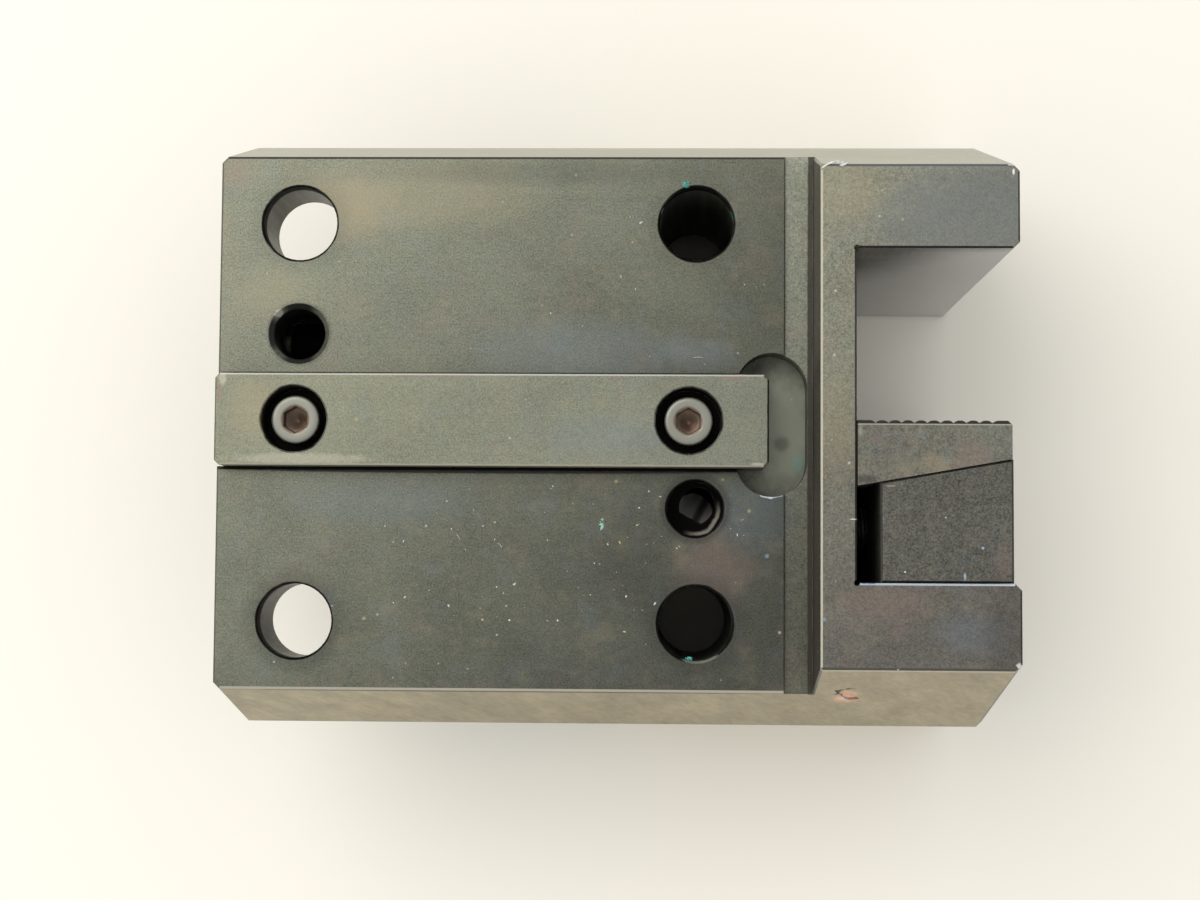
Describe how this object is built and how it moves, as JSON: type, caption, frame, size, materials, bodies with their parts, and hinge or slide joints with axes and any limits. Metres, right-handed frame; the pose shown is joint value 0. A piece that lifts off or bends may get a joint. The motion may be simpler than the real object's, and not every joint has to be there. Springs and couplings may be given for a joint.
{
  "type": "turret tool holder",
  "caption": "Static block holder for a square-shank turning tool on a polygonal lathe turret, with mounting pad, key, hooked head and wedge clamp.",
  "frame": {"origin": "centre of the square of mounting bolts, on the mounting face", "axes": "+Z out of the mounting face, +X along the turret's width towards the clamping head, +Y across the turret towards the shank's seat"},
  "size_m": [0.1377, 0.1084, 0.0896],
  "materials": {
    "block_steel": "black oxide with an olive sheen, satin",
    "key_steel": "ground and blackened, satin",
    "jaw_steel": "hardened, black oxide, satin",
    "wedge_steel": "hardened, black oxide, satin",
    "screw_steel": "black oxide, oiled",
    "spring_steel": "phosphated, matte",
    "pin_steel": "ground",
    "nozzle_steel": "turned, satin",
    "seal_rubber": "smooth"
  },
  "bodies": {
    "holder": {"holder_body": "block_steel", "turret_key": "key_steel", "key_screw_at_left": "screw_steel", "key_screw_at_right": "screw_steel", "jaw_pin_near": "pin_steel", "jaw_pin_far": "pin_steel", "gallery_plug": "screw_steel", "nozzle_ring": "nozzle_steel", "nozzle_seal": "seal_rubber"},
    "wedge": {"clamp_wedge": "wedge_steel", "wedge_clip_near": "spring_steel", "wedge_clip_far": "spring_steel"},
    "jaw": {"clamp_jaw": "jaw_steel"},
    "screw_near": {"wedge_screw_near": "screw_steel"},
    "screw_far": {"wedge_screw_far": "screw_steel"},
    "ball": {"nozzle_ball": "nozzle_steel"}
  },
  "joints": [
    {"name": "wedge_slide", "type": "slide", "parent": "holder", "child": "wedge", "axis": [-1, 0, 0], "range_m": [-0.00375, 0.00375]},
    {"name": "jaw_lift", "type": "slide", "parent": "holder", "child": "jaw", "axis": [0, 1, 0], "range_m": [-0.00067, 0.00067]},
    {"name": "screw_near_turn", "type": "hinge", "parent": "wedge", "child": "screw_near", "pos_m": [0.0753, -0.0182, -0.01], "axis": [-1, 0, 0], "range_deg": [-1081, 1081]},
    {"name": "screw_far_turn", "type": "hinge", "parent": "wedge", "child": "screw_far", "pos_m": [0.0753, -0.0182, -0.044], "axis": [-1, 0, 0], "range_deg": [-1081, 1081]},
    {"name": "nozzle_tilt", "type": "hinge", "parent": "holder", "child": "ball", "pos_m": [0.051, 0.0154, -0.0662], "axis": [1, 0, 0], "range_deg": [-20, 20]}
  ],
  "couplings": [
    {"joint": "jaw_lift", "follows": "wedge_slide", "ratio": 0.17633},
    {"joint": "screw_near_turn", "follows": "wedge_slide", "rad_per_m": 5026.5},
    {"joint": "screw_far_turn", "follows": "wedge_slide", "rad_per_m": 5026.5}
  ]
}
